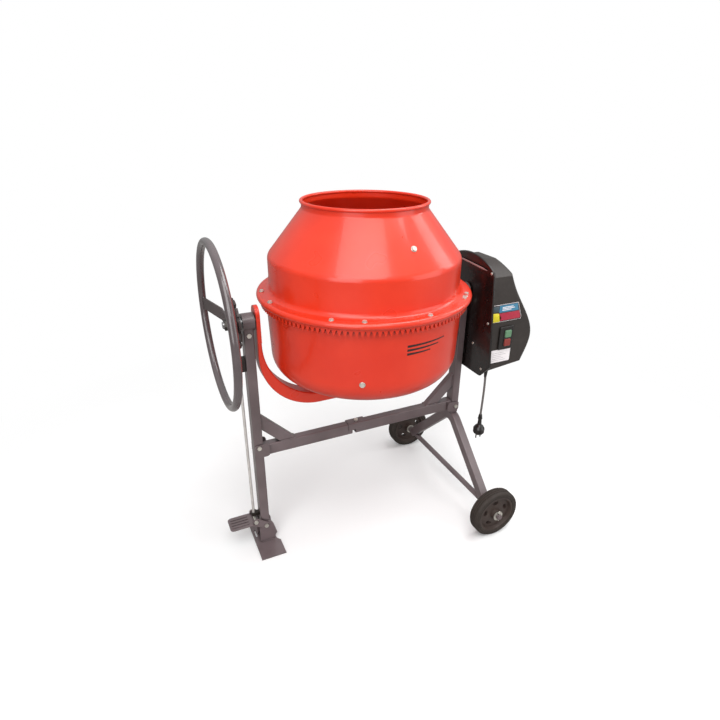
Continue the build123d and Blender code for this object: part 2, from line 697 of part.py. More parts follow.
# ------------------------------ wheels -------------------------------------
for side, name in ((-1, "near"), (1, "far")):
    y0 = side * WHEEL_Y
    middle = side * (WHEEL_Y + WHEEL_W / 2)
    with BuildPart() as wheel:
        with BuildSketch(Plane.XY):
            with BuildLine():
                Polyline(
                    (AXLE_R + RUN, -WHEEL_W / 2), (19, -WHEEL_W / 2), (21, -12), (60, -8),
                    (64, -19), (70, -19), (70, 19), (64, 19), (60, 8), (21, 12),
                    (19, WHEEL_W / 2), (AXLE_R + RUN, WHEEL_W / 2), close=True,
                )
            make_face()
        revolve(axis=Axis.Y)
        with BuildSketch(along_y(0, -30, 0)):
            with PolarLocations(43, 5, start_angle=-21):
                SlotOverall(24, 13, rotation=90)
        extrude(amount=60, mode=Mode.SUBTRACT)
    save(wheel.part.moved(Location((WHEEL_X, middle, WHEEL_R))), f"{name}_wheel")
    with BuildPart() as tyre:
        with BuildSketch(Plane.XY):
            with BuildLine():
                Polyline(
                    (70, -20), (76, -22), (85, -20), (WHEEL_R, -12), (WHEEL_R, 12),
                    (85, 20), (76, 22), (70, 20), close=True,
                )
            make_face()
        revolve(axis=Axis.Y)
    save(tyre.part.moved(Location((WHEEL_X, middle, WHEEL_R))), f"{name}_tyre")

# ------------------------------ tilt lock ----------------------------------
with BuildPart() as rod_guides:
    for x0, z0, z1, depth in ((-424, GUIDE_Z0, GUIDE_Z1, 28), (-421.5, 113, 125, 15)):
        with BuildSketch(Plane.XY.offset(z0)):
            with Locations(((x0 - POST_X - POST_W / 2) / 2, 0)):
                RectangleRounded(-POST_X - POST_W / 2 - x0, depth, 3)
            with Locations((ROD_X, 0)):
                Circle(ROD_R + RUN, mode=Mode.SUBTRACT)
        extrude(amount=z1 - z0)
save(rod_guides.part, "lock_rod_guides")

with BuildPart() as rod:
    with BuildSketch(Plane.XY.offset(ROD_Z0)):
        with Locations((ROD_X, 0)):
            Circle(ROD_R)
    extrude(amount=ROD_Z1 - ROD_Z0)
    with BuildSketch(Plane.XY.offset(COLLAR_Z)):
        with Locations((ROD_X, 0)):
            Circle(9)
    extrude(amount=3)
save(rod.part, "lock_rod")

SPRING_Z0 = GUIDE_Z1 + SPRING_WIRE + 0.5
with BuildPart() as spring:
    with BuildLine(Plane(origin=(ROD_X, 0, SPRING_Z0))) as coil:
        Helix(pitch=4, height=COLLAR_Z - SPRING_WIRE - 0.5 - SPRING_Z0, radius=SPRING_R)
    with BuildSketch(Plane(origin=coil.line @ 0, z_dir=coil.line % 0)):
        Circle(SPRING_WIRE)
    sweep(path=coil.line, is_frenet=True)
save(spring.part, "return_spring")

PEDAL_GRIP = 29.0       # outer faces of the pedal's side plates
PEDAL_NECK = -414.0
with BuildPart() as pedal:
    with BuildSketch(Plane.XY.offset(PEDAL_Z)):
        with Locations(((PEDAL_X0 + PEDAL_NECK) / 2, 0)):
            RectangleRounded(PEDAL_NECK - PEDAL_X0, 2 * PEDAL_HALF, 12)
        with Locations((PEDAL_NECK, 0)):
            Rectangle(2 * (PEDAL_X1 - PEDAL_NECK), 2 * PEDAL_GRIP)
    extrude(amount=PEDAL_T)
    with BuildSketch(Plane.XY.offset(PEDAL_Z + PEDAL_T)):
        with Locations((-465, 0)):
            with GridLocations(1, 13, 1, 4):
                SlotOverall(60, 5)
    extrude(amount=2.5)
    for y in (-PEDAL_GRIP, PEDAL_GRIP - PEDAL_T):
        with BuildSketch(along_y(0, y, 0)):
            with BuildLine():
                FilletPolyline(
                    (-425, -PEDAL_Z), (-423, -PIN_Z - 9), (-405, -PIN_Z - 9), (-371, -PIVOT_Z - 9),
                    (-371, -PIVOT_Z + 9), (-388, -PIVOT_Z + 9), (-425, -PEDAL_Z + 4),
                    radius=[6, 10, 8, 8, 8],
                )
                Line((-425, -PEDAL_Z + 4), (-425, -PEDAL_Z))
            make_face()
            with Locations((-POST_X, -PIVOT_Z)):
                Circle(FRAME_BOLT[0] + RUN, mode=Mode.SUBTRACT)
            with Locations((ROD_X, -PIN_Z)):
                Circle(FRAME_BOLT[0], mode=Mode.SUBTRACT)
        extrude(amount=PEDAL_T)
save(pedal.part, "lock_pedal")

# ------------------------------ drive --------------------------------------
SCREWS = [(side * y, z) for side in (-1, 1) for y, z in ((121, 912), (131, 743), (63, 646), (122, 570))]


def tray_face():
    """Outline of the drive's back panel seen along X: a tombstone that widens downwards."""
    with BuildSketch(mode=Mode.PRIVATE) as face:
        with BuildLine():
            Polyline((-132, 915), (-164, 592), (-115, 538), (115, 538), (164, 592), (132, 915))
            ThreePointArc((132, 915), (0, 957), (-132, 915))
        make_face()
        fillet(face.vertices().group_by(Axis.Y)[-1], 22)
        fillet(face.vertices().group_by(Axis.Y)[0], 14)
    return face.sketch


def cover_face(inset):
    """Outline of the drive cover seen along X, drawn in by a margin."""
    half = COVER_HALF - inset
    with BuildSketch(mode=Mode.PRIVATE) as face:
        with BuildLine():
            Polyline((-half, 900 - inset), (-half, 556 + inset), (half, 556 + inset), (half, 900 - inset))
            ThreePointArc((half, 900 - inset), (0, 945 - inset), (-half, 900 - inset))
        make_face()
    return face.sketch


with BuildPart() as tray:
    with BuildSketch(along_x(TRAY_X0, 0, 0)):
        add(tray_face())
    extrude(amount=TRAY_X1 - TRAY_X0)
    fillet(tray.faces().sort_by(Axis.X)[0].edges(), 4)
    with BuildSketch(along_x(TRAY_X0 + TRAY_T, 0, 0)):
        add(cover_face(2 * TRAY_T))
    extrude(amount=TRAY_X1 - TRAY_X0, mode=Mode.SUBTRACT)
    with BuildSketch(along_x(TRAY_X0, 0, 0)):
        with Locations((0, TILT_Z)):
            Circle(22)
        with Locations(*SCREWS):
            Circle(2)
    extrude(amount=10, mode=Mode.SUBTRACT)
    with BuildSketch(along_x(TRAY_X0, 0, 0)):
        with Locations((0, 760), (0, 600)):
            Rectangle(30, 26)
    extrude(amount=POST_X + POST_W / 2 - TRAY_X0)
save(tray.part, "drive_tray")


def cover_block(inset):
    """The cover's solid form, shrunk by a wall's thickness."""
    with BuildPart(mode=Mode.PRIVATE) as block:
        with BuildSketch(Plane.XZ):
            with BuildLine():
                Polyline(
                    (468 - inset, 940 - inset), (TRAY_X1, 942 - inset), (TRAY_X1, 556 + inset),
                    (566 - inset, 572 + inset),
                )
                Spline(
                    (566 - inset, 572 + inset), (COVER_X1 - inset, 664), (575 - inset, 742 - inset),
                    (523 - inset, 823 - inset), (487 - inset, 890 - inset), (468 - inset, 940 - inset),
                    tangents=[(0.35, 1), (-0.3, 1)], tangent_scalars=[0.6, 0.6],
                )
            make_face()
        extrude(amount=COVER_HALF - inset, both=True)
        with BuildSketch(along_x(TRAY_X1, 0, 0)):
            add(cover_face(inset))
        extrude(amount=COVER_X1 - TRAY_X1 + 5, mode=Mode.INTERSECT)
    return block.part


with BuildPart() as cover:
    add(cover_block(0))
    rounded = cover.edges().filter_by(lambda e: e.center().X > TRAY_X1 + 18 and e.length > 80)
    fillet(rounded.filter_by(lambda e: abs(abs(e.center().Y) - COVER_HALF) < 1), 10)
    add(cover_block(3), mode=Mode.SUBTRACT)
    with BuildSketch(Plane.XZ.offset(COVER_HALF + 1)):
        with Locations((BUTTON_X, SWITCH_Z)):
            Rectangle(42, 68)
    extrude(amount=-6, mode=Mode.SUBTRACT)
    with BuildSketch(Plane.XY.offset(550)):
        with Locations((CABLE_X, CABLE_Y)):
            Circle(CABLE_R + 0.5)
    extrude(amount=30, mode=Mode.SUBTRACT)
save(cover.part, "drive_cover")


with BuildPart() as cover_screws:
    for y, z in SCREWS:
        with BuildSketch(along_x(TRAY_X0, y, z)):
            Circle(4.5)
        extrude(amount=-3)
        with BuildSketch(along_x(TRAY_X0, y, z)):
            Circle(2)
        extrude(amount=TRAY_X1 - TRAY_X0)
    fillet(cover_screws.faces().group_by(Axis.X)[0].edges(), 1.5)
save(cover_screws.part, "cover_screws")

with BuildPart() as stator:
    with BuildSketch(along_x(STACK_X0, 0, MOTOR_Z)):
        Circle(54)
        with PolarLocations(56, 24):
            Rectangle(8, 3)
        Circle(30.5, mode=Mode.SUBTRACT)
    extrude(amount=STACK_X1 - STACK_X0)
save(stator.part, "motor_stator")

with BuildPart() as shields:
    for x in (SHIELD_X0, STACK_X1):
        with BuildSketch(along_x(x, 0, MOTOR_Z)):
            Circle(60)
            Circle(MOTOR_SHAFT_R + RUN, mode=Mode.SUBTRACT)
        extrude(amount=STACK_X0 - SHIELD_X0)
    for y, z in ((-52, 28), (52, 28), (-52, -28), (52, -28)):
        with BuildSketch(along_x(TRAY_X0 + TRAY_T, y, MOTOR_Z + z)):
            Circle(6)
        extrude(amount=SHIELD_X0 - TRAY_X0 - TRAY_T)
save(shields.part, "motor_end_shields")

with BuildPart() as rotor:
    with BuildSketch(along_x(BELT_X0 - 4, 0, MOTOR_Z)):
        Circle(MOTOR_SHAFT_R)
    extrude(amount=156)
    with BuildSketch(along_x(STACK_X0 + 8, 0, MOTOR_Z)):
        Circle(30)
    extrude(amount=74)
    with BuildSketch(along_x(SHIELD_X1 + 2, 0, MOTOR_Z)):
        Circle(14)
        with PolarLocations(26, 8):
            Rectangle(34, 3, rotation=20)
    extrude(amount=8)
save(rotor.part, "motor_rotor")

with BuildPart() as motor_pulley:
    with BuildSketch(Plane.XZ):
        with BuildLine():
            Polyline(
                (BELT_X0 - 3, MOTOR_SHAFT_R), (BELT_X1 + 3, MOTOR_SHAFT_R), (BELT_X1 + 3, 16),
                (BELT_X1 + 1, 16), (BELT_X1 + 1, MOTOR_PULLEY_R), (BELT_X0 - 1, MOTOR_PULLEY_R),
                (BELT_X0 - 1, 16), (BELT_X0 - 3, 16), close=True,
            )
        make_face()
    revolve(axis=Axis.X)
save(motor_pulley.part.moved(Location((0, 0, MOTOR_Z))), "motor_pulley")


def belt_loop(gap):
    """Loop around both pulleys, standing off their rims by a gap."""
    with BuildSketch(mode=Mode.PRIVATE) as loop:
        with BuildLine():
            CenterArc((0, TILT_Z), DRIVEN_R + gap, 0, 360)
            CenterArc((0, MOTOR_Z), MOTOR_PULLEY_R + gap, 0, 360)
        make_hull()
    return loop.sketch


with BuildPart() as belt:
    with BuildSketch(along_x(BELT_X0, 0, 0)):
        add(belt_loop(BELT_GAP + BELT_T))
        add(belt_loop(BELT_GAP), mode=Mode.SUBTRACT)
    extrude(amount=BELT_X1 - BELT_X0)
save(belt.part, "drive_belt")

with BuildPart() as capacitor:
    with BuildSketch(along_x(TRAY_X0 + TRAY_T, -88, 600)):
        Circle(18)
    extrude(amount=66)
    fillet(capacitor.faces().sort_by(Axis.X)[-1].edges(), 3)
save(capacitor.part, "start_capacitor")

with BuildPart() as switch_box:
    with BuildSketch(Plane.XZ.offset(COVER_HALF)):
        with Locations((SWITCH_X, SWITCH_Z)):
            RectangleRounded(57, 85, 5)
    extrude(amount=6)
    fillet(switch_box.faces().sort_by(Axis.Y)[0].edges(), 2)
    with BuildSketch(Plane.XZ.offset(COVER_HALF)):
        with Locations((BUTTON_X, SWITCH_Z)):
            Rectangle(41, 67)
    extrude(amount=-30)
    with BuildSketch(Plane.XZ.offset(COVER_HALF + 6)):
        with Locations((BUTTON_X, SWITCH_Z + BUTTON_RISE), (BUTTON_X, SWITCH_Z - BUTTON_RISE)):
            Rectangle(BUTTON + 2 * BUTTON_GAP, BUTTON + 2 * BUTTON_GAP)
    extrude(amount=-24, mode=Mode.SUBTRACT)
save(switch_box.part, "switch_box")

for rise, label in ((BUTTON_RISE, "start_button"), (-BUTTON_RISE, "stop_button")):
    with BuildPart() as button:
        with BuildSketch(Plane.XZ.offset(COVER_HALF + 11)):
            with Locations((BUTTON_X, SWITCH_Z + rise)):
                RectangleRounded(BUTTON, BUTTON, 4)
        extrude(amount=-20)
        fillet(button.faces().sort_by(Axis.Y)[0].edges(), 2)
    save(button.part, label)

with BuildPart() as labels:
    with BuildSketch(Plane.XZ.offset(COVER_HALF)):
        with BuildLine():
            Polyline((407, 742), (537, 742), (537, 752), (518, 804), (407, 804), close=True)
        make_face()
        with Locations((467, 613)):
            RectangleRounded(86, 48, 3)
    extrude(amount=0.8)
save(labels.part, "label_plates")

with BuildPart() as cable:
    with BuildLine() as cable_path:
        Spline(
            (CABLE_X, CABLE_Y, 572), (CABLE_X + 2, CABLE_Y, 470), (CABLE_X, CABLE_Y, 352),
            tangents=[(0, 0, -1), (0, 0, -1)],
        )
    with BuildSketch(Plane(origin=cable_path.line @ 0, z_dir=(0, 0, -1))):
        Circle(CABLE_R)
    sweep(path=cable_path.line)
save(cable.part, "supply_cable")

with BuildPart() as plug:
    with BuildSketch(Plane.XZ):
        with BuildLine():
            Polyline(
                (0, 47), (6, 47), (8, 20), (15, 14), (21, 4), (21, -12), (17, -18), (0, -18),
                close=True,
            )
        make_face()
    revolve(axis=Axis.Z)
    with BuildSketch(Plane.XY.offset(-18)):
        with Locations((-9.5, 0), (9.5, 0)):
            Circle(2.4)
    extrude(amount=-19)
save(plug.part.moved(Location((CABLE_X, CABLE_Y, PLUG_Z))), "plug")

# ------------------------------ frame bolts --------------------------------
EARS = POST_D + 2 * EAR_T
with BuildPart() as frame_bolts:
    for x, z, grip in (
        (-POST_X, FRONT_BAR_BOLT_Z, EARS), (POST_X, REAR_BAR_BOLT_Z, EARS),
        (-POST_X, HOUSING_BOLT_Z, POST_D), (POST_X, HOUSING_BOLT_Z, POST_D),
        (-POST_X, PIVOT_Z, 2 * PEDAL_GRIP),
    ):
        face = Plane(origin=(x, -grip / 2, z), x_dir=(1, 0, 0), z_dir=(0, -1, 0))
        add(bolt(face, FRAME_BOLT, grip + FRAME_BOLT[2], nut=True))
    top = Plane(origin=(LAP_BOLT_X, 0, BAR_Z1 + 3))
    add(bolt(top, FRAME_BOLT, 5 + FRAME_BOLT[2], nut=True))
save(frame_bolts.part, "frame_bolts")

with BuildPart() as pedal_pin:
    face = Plane(origin=(ROD_X, -PEDAL_GRIP, PIN_Z), x_dir=(1, 0, 0), z_dir=(0, -1, 0))
    add(bolt(face, FRAME_BOLT, 2 * PEDAL_GRIP + FRAME_BOLT[2], nut=True))
save(pedal_pin.part, "pedal_pin")
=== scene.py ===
import json
from math import atan2, ceil, cos, degrees, pi, radians, sin

import bpy
from mathutils import Matrix, Vector


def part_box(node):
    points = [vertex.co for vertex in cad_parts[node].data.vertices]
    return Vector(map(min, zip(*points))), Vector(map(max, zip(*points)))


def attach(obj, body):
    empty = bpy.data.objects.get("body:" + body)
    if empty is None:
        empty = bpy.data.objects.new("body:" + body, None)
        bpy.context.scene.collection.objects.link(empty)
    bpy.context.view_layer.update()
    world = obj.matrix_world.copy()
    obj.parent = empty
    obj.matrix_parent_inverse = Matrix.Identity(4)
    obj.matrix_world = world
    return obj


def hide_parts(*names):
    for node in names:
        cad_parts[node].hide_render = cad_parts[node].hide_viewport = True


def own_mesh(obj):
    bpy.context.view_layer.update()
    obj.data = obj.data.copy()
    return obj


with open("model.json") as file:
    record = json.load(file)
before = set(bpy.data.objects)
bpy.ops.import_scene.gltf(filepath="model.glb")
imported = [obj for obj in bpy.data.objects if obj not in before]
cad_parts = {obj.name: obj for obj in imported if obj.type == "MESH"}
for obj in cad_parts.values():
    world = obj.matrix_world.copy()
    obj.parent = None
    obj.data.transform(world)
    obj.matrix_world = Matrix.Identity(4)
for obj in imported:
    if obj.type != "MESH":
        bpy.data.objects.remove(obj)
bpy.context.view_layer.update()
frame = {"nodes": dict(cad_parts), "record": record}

# ---------------------------------------------------------------------------
# Reference places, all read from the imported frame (metres)
# ---------------------------------------------------------------------------
nodes = frame["nodes"]
UP = Vector((0, 0, 1))
OUTWARD = Vector((0, -1, 0))    # the way the drive cover's labelled face looks


def middle(node):
    low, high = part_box(node)
    return (low + high) / 2


DRUM_X = middle("drum_cone").x


def at(x, y, z):
    """A place given in millimetres from the drum's axis on the ground."""
    return Vector((DRUM_X + x / 1000, y / 1000, z / 1000))


def polar(angle, radius, z):
    turn = radians(angle)
    return at(radius * cos(turn), radius * sin(turn), z)


def span(node):
    """A node's low and high corners in the millimetres of at()."""
    low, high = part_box(node)
    shift = Vector((DRUM_X, 0, 0))
    return (low - shift) * 1000, (high - shift) * 1000


def surface(node, start, toward):
    """Where a ray from start first meets a CAD node, and the normal there."""
    found, place, normal, _ = nodes[node].ray_cast(start, (toward - start).normalized())
    if not found:
        raise RuntimeError(f"no surface of {node} in that direction")
    return place, normal


# ---------------------------------------------------------------------------
# Material helpers
# ---------------------------------------------------------------------------
def srgb(r, g, b):
    """An sRGB colour given as 0..255 values, as linear RGBA."""
    def lin(v):
        v /= 255
        return v / 12.92 if v <= 0.04045 else ((v + 0.055) / 1.055) ** 2.4
    return (lin(r), lin(g), lin(b), 1.0)


class Shader:
    """A node tree under construction, with short names for the nodes it uses."""

    def __init__(self, name):
        self.material = bpy.data.materials.new(name)
        self.material.use_nodes = True
        self.tree = self.material.node_tree
        self.bsdf = self.tree.nodes["Principled BSDF"]
        self.place = self.add("ShaderNodeTexCoord").outputs["Object"]

    def add(self, kind, **settings):
        node = self.tree.nodes.new(kind)
        for key, value in settings.items():
            setattr(node, key, value)
        return node

    def link(self, source, target):
        self.tree.links.new(source, target)

    def noise(self, scale, detail=4.0, roughness=0.55, stretch=None):
        node = self.add("ShaderNodeTexNoise")
        node.inputs["Scale"].default_value = scale
        node.inputs["Detail"].default_value = detail
        node.inputs["Roughness"].default_value = roughness
        source = self.place
        if stretch:
            mapping = self.add("ShaderNodeMapping")
            mapping.inputs["Scale"].default_value = stretch
            self.link(self.place, mapping.inputs["Vector"])
            source = mapping.outputs["Vector"]
        self.link(source, node.inputs["Vector"])
        return node.outputs["Fac"]

    def ramp(self, source, low, high, a, b):
        """Maps source from low..high to the values a..b."""
        node = self.add("ShaderNodeMapRange")
        node.inputs["From Min"].default_value = low
        node.inputs["From Max"].default_value = high
        node.inputs["To Min"].default_value = a
        node.inputs["To Max"].default_value = b
        self.link(source, node.inputs["Value"])
        return node.outputs["Result"]

    def times(self, a, b):
        node = self.add("ShaderNodeMath", operation="MULTIPLY")
        self.link(a, node.inputs[0])
        self.link(b, node.inputs[1])
        return node.outputs[0]

    def mix(self, factor, a, b):
        """Mixes two colours, each a socket or an RGBA value."""
        node = self.add("ShaderNodeMix", data_type="RGBA")
        self.link(factor, node.inputs["Factor"])
        for index, value in ((6, a), (7, b)):
            if isinstance(value, tuple):
                node.inputs[index].default_value = value
            else:
                self.link(value, node.inputs[index])
        return node.outputs[2]

    def bump(self, height, strength, distance, before=None):
        node = self.add("ShaderNodeBump")
        node.inputs["Strength"].default_value = strength
        node.inputs["Distance"].default_value = distance
        self.link(height, node.inputs["Height"])
        if before is not None:
            self.link(before, node.inputs["Normal"])
        return node.outputs["Normal"]

    def edges(self, radius=0.003):
        """Near 1 on convex edges and near 0 on flat ground."""
        bevel = self.add("ShaderNodeBevel", samples=4)
        bevel.inputs["Radius"].default_value = radius
        geometry = self.add("ShaderNodeNewGeometry")
        dot = self.add("ShaderNodeVectorMath", operation="DOT_PRODUCT")
        self.link(bevel.outputs["Normal"], dot.inputs[0])
        self.link(geometry.outputs["Normal"], dot.inputs[1])
        return self.ramp(dot.outputs["Value"], 0.9, 0.72, 0.0, 1.0)

    def shade_in_gaps(self, reach=0.016):
        """Ambient occlusion as a mask for painted shade: near 1 deep in corners and gaps, 0 in the open."""
        node = self.add("ShaderNodeAmbientOcclusion", samples=8)
        node.inputs["Distance"].default_value = reach
        return self.ramp(node.outputs["AO"], 0.8, 0.3, 0.0, 1.0)

    def set(self, **values):
        for key, value in values.items():
            socket = self.bsdf.inputs[key.replace("_", " ")]
            if hasattr(value, "is_output"):
                self.link(value, socket)
            else:
                socket.default_value = value


def paint(name, colour, dark, worn, gap_shade, gloss=0.25, coat=0.4, wear=0.35, wave=0.0008):
    """Sprayed paint on sheet: tone drift, orange peel, slack sheet, painted shade in gaps, worn edges."""
    s = Shader(name)
    tone = s.mix(s.ramp(s.noise(6, 3), 0.35, 0.65, 0.0, 1.0), dark, colour)
    # painted shade: the colour is darkened towards a near-black shade colour deep in corners and gaps
    gap_shade_mask = s.times(s.shade_in_gaps(), s.ramp(s.noise(35, 4), 0.3, 0.6, 0.7, 1.0))
    colour = s.mix(gap_shade_mask, tone, gap_shade)
    if wear:
        rubbed = s.times(s.edges(), s.ramp(s.noise(60, 5), 0.52, 0.62, 0.0, wear))
        colour = s.mix(rubbed, colour, worn)
    slack = s.bump(s.noise(7, 1), 0.35, wave)
    s.set(
        Base_Color=colour,
        Roughness=s.ramp(s.noise(9, 2), 0.3, 0.7, gloss * 0.85, gloss * 1.25),
        Coat_Weight=coat,
        Coat_Roughness=0.1,
        Normal=s.bump(s.noise(160, 1), 0.12, 0.0002, slack),
    )
    return s.material


TARNISH = srgb(120, 118, 112)
METAL_GAP_SHADE = srgb(40, 36, 32)


def metal(name, colour, rough=0.32, stretch=(1, 1, 12), metallic=1.0):
    s = Shader(name)
    brushed = s.noise(120, 3, stretch=stretch)
    dull = s.mix(s.ramp(s.noise(25), 0.35, 0.65, 0.0, 0.35), colour, TARNISH)
    # painted shade: the base colour darkens towards a near-black colour deep in gaps and corners
    s.set(
        Base_Color=s.mix(s.ramp(s.shade_in_gaps(0.006), 0, 1, 0, 0.7), dull, METAL_GAP_SHADE),
        Metallic=metallic,
        Roughness=s.ramp(brushed, 0.3, 0.7, rough * 0.75, rough * 1.3),
        Normal=s.bump(brushed, 0.15, 0.0002),
    )
    return s.material


def plastic(name, colour, light, rough=0.45, grain=900, depth=0.0002, coat=0.0):
    s = Shader(name)
    dust = s.times(s.ramp(s.noise(9, 6), 0.45, 0.75, 0.0, 0.5), s.ramp(s.noise(60, 3), 0.4, 0.7, 0.3, 1.0))
    s.set(
        Base_Color=s.mix(dust, colour, light),
        Roughness=s.ramp(s.noise(40, 4), 0.3, 0.7, rough * 0.85, rough * 1.2),
        Coat_Weight=coat,
        Normal=s.bump(s.noise(grain, 2), 0.4, depth),
    )
    return s.material


LOOKS = {
    "drum_paint": paint(
        "drum_orange", (0.75, 0.036, 0.009, 1), (0.69, 0.027, 0.006, 1), srgb(190, 80, 60),
        (0.14, 0.004, 0.002, 1), gloss=0.3, coat=0.35, wear=0,
    ),
    "frame_paint": paint(
        "frame_brown_grey", srgb(112, 98, 100), srgb(94, 81, 82), srgb(160, 150, 148), srgb(32, 27, 26),
        gloss=0.34, coat=0.5,
    ),
    "wheel_paint": paint(
        "handwheel_grey", srgb(92, 82, 84), srgb(76, 66, 67), srgb(160, 150, 148), srgb(34, 30, 30),
        gloss=0.2, coat=0.8,
    ),
    "zinc": metal("bright_zinc", srgb(236, 232, 222), 0.34, metallic=0.7),
    "steel": metal("turned_steel", srgb(180, 180, 182), 0.3),
    "cast_steel": metal("cast_steel", srgb(90, 88, 86), 0.5),
    "bronze": metal("sintered_bronze", srgb(190, 140, 80), 0.4),
    "alloy": metal("cast_alloy", srgb(190, 192, 195), 0.42),
    "gloss_black": plastic("gloss_black", srgb(20, 15, 14), srgb(44, 36, 32), 0.3, 200, 0.0001, 0.3),
    "cover_grey": plastic("cover_grey", srgb(44, 38, 35), srgb(72, 64, 60), 0.42),
    "wheel_plastic": plastic("wheel_plastic", srgb(62, 50, 45), srgb(96, 82, 76), 0.45),
    "tyre": plastic("tyre_rubber", srgb(46, 38, 33), srgb(84, 74, 64), 0.7, 500, 0.0004),
    "belt_rubber": plastic("belt_rubber", srgb(25, 25, 25), srgb(50, 50, 50), 0.7),
    "cable_grey": plastic("cable_grey", srgb(108, 104, 102), srgb(90, 86, 84), 0.55),
    "label": plastic("label_film", srgb(246, 240, 242), srgb(232, 226, 228), 0.35),
    "green_plastic": plastic("green_button", srgb(98, 138, 106), srgb(90, 124, 98), 0.35),
    "red_plastic": plastic("red_button", srgb(138, 52, 46), srgb(118, 44, 40), 0.35),
}
PRINTS = {
    "blue": plastic("print_blue", srgb(66, 128, 160), srgb(84, 140, 168), 0.35),
    "magenta": plastic("print_magenta", srgb(176, 44, 66), srgb(160, 60, 76), 0.35),
    "yellow": plastic("print_yellow", srgb(222, 206, 40), srgb(206, 190, 60), 0.35),
    "dark": plastic("print_dark", srgb(40, 26, 26), srgb(60, 44, 42), 0.4),
    "grey": plastic("print_grey", srgb(176, 170, 172), srgb(190, 184, 186), 0.4),
    "teal": plastic("print_teal", srgb(60, 76, 84), srgb(74, 88, 96), 0.4),
    # a painted highlight: pale pink for the lip across the drive's back panel
    "crease": plastic("crease_painted_highlight", srgb(150, 118, 116), srgb(120, 92, 90), 0.3),
}

# a few pieces of a slot are finished darker than the rest of it
DARKER = {
    "lock_disc": paint(
        "disc_dark", srgb(58, 44, 42), srgb(48, 36, 34), srgb(130, 120, 116), srgb(22, 16, 15),
        gloss=0.45, coat=0.2,
    ),
    "handwheel_strap": paint(
        "strap_dark", srgb(70, 58, 58), srgb(58, 48, 48), srgb(130, 120, 118), srgb(26, 20, 20),
        gloss=0.4, coat=0.2,
    ),
    "handwheel_nut": metal("black_nut", srgb(70, 64, 62), 0.4),
    "lock_rod_guides": plastic("guide_brown", srgb(30, 22, 18), srgb(60, 50, 44), 0.5),
    "lock_rod": metal("pale_rod", srgb(240, 236, 232), 0.42, metallic=0.6),
}
DARKER["handwheel_hub"] = DARKER["handwheel_strap"]

slot_of = {entry["node"]: entry["material_slot"] for entry in frame["record"]["subparts"]}
for name, obj in nodes.items():
    for slot in obj.material_slots:
        slot.material = DARKER.get(name, LOOKS[slot_of[name]])
    obj.data.shade_smooth()
    obj.data.set_sharp_from_angle(angle=radians(32))


# ---------------------------------------------------------------------------
# Mesh helpers: every extra piece is built from its own vertices
# ---------------------------------------------------------------------------
def piece(name, verts, faces, body, slot, look=None):
    mesh = bpy.data.meshes.new(name)
    mesh.from_pydata([tuple(v) for v in verts], [], faces)
    mesh.validate()
    mesh.materials.append(look or LOOKS[slot])
    mesh.shade_smooth()
    mesh.set_sharp_from_angle(angle=radians(38))
    obj = bpy.data.objects.new(name, mesh)
    bpy.context.scene.collection.objects.link(obj)
    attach(obj, body)
    return obj


def strips(count, around, closed):
    """Quads between neighbouring rings of a lofted surface."""
    faces = []
    for i in range(count if closed else count - 1):
        for j in range(around):
            a, b = i * around, (i + 1) % count * around
            faces.append((a + j, a + (j + 1) % around, b + (j + 1) % around, b + j))
    return faces


def weld(paths, name, body, slot, radius=2.0, closed=False, pitch=3.2):
    """Rippled weld beads along the paths (lists of places)."""
    verts, faces = [], []
    for path in paths:
        places = []
        legs = list(zip(path, path[1:] + path[:1] if closed else path[1:]))
        for a, b in legs:
            steps = max(2, ceil((b - a).length * 1000 / pitch * 4))
            places += [a.lerp(b, k / steps) for k in range(steps)]
        if not closed:
            places.append(path[-1])
        start = len(verts)
        count = len(places)
        for i, place in enumerate(places):
            ahead = places[(i + 1) % count] if closed or i + 1 < count else place
            behind = places[i - 1] if closed or i else place
            along = (ahead - behind).normalized()
            side = (along.orthogonal() if abs(along.z) > 0.9 else along.cross(UP)).normalized()
            up = along.cross(side)
            swell = 1 + 0.16 * sin(i * pi / 2) + 0.08 * sin(i * 1.37)
            taper = 1.0 if closed else min(1.0, 0.35 + 0.3 * min(i, count - 1 - i))
            r = radius / 1000 * swell * taper
            verts += [place + r * (cos(pi * k / 4) * side + sin(pi * k / 4) * up) for k in range(8)]
        faces += [tuple(start + v for v in face) for face in strips(count, 8, closed)]
        if not closed:
            faces.append(tuple(range(start + 7, start - 1, -1)))
            faces.append(tuple(range(len(verts) - 8, len(verts))))
    return piece(name, verts, faces, body, slot)


def circle(centre, normal, radius, count=40):
    """Places on a circle, radius in millimetres."""
    normal = Vector(normal).normalized()
    side = normal.orthogonal().normalized()
    up = normal.cross(side)
    turn = [2 * pi * k / count for k in range(count)]
    return [centre + radius / 1000 * (cos(t) * side + sin(t) * up) for t in turn]


def turned(parts, name, body, slot, profile, count=48, look=None):
    """A turned shape: closed profile of (radius, height) in mm, at each (centre, axis)."""
    verts, faces = [], []
    for centre, axis in parts:
        axis = Vector(axis).normalized()
        start = len(verts)
        for radius, height in profile:
            verts += circle(centre + height / 1000 * axis, axis, radius, count)
        faces += [tuple(start + v for v in face) for face in strips(len(profile), count, True)]
    return piece(name, verts, faces, body, slot, look)


def slab(outlines, name, body, slot, thick, look=None, lift=None, soft=0.25):
    """Flat prints and plates: outlines are lists of places in one plane, lift is their normal."""
    verts, faces = [], []
    up = Vector(lift).normalized() * thick / 1000
    for outline in outlines:
        start, n = len(verts), len(outline)
        centre = sum(outline, Vector()) / n
        inset = [p + (centre - p).normalized() * soft / 1000 for p in outline]
        verts += outline + [p + up * 0.6 for p in outline] + [p + up for p in inset]
        faces += [tuple(start + v for v in face) for face in strips(3, n, False)]
        faces.append(tuple(range(start + n - 1, start - 1, -1)))
        faces.append(tuple(range(start + 2 * n, start + 3 * n)))
    return piece(name, verts, faces, body, slot, look)


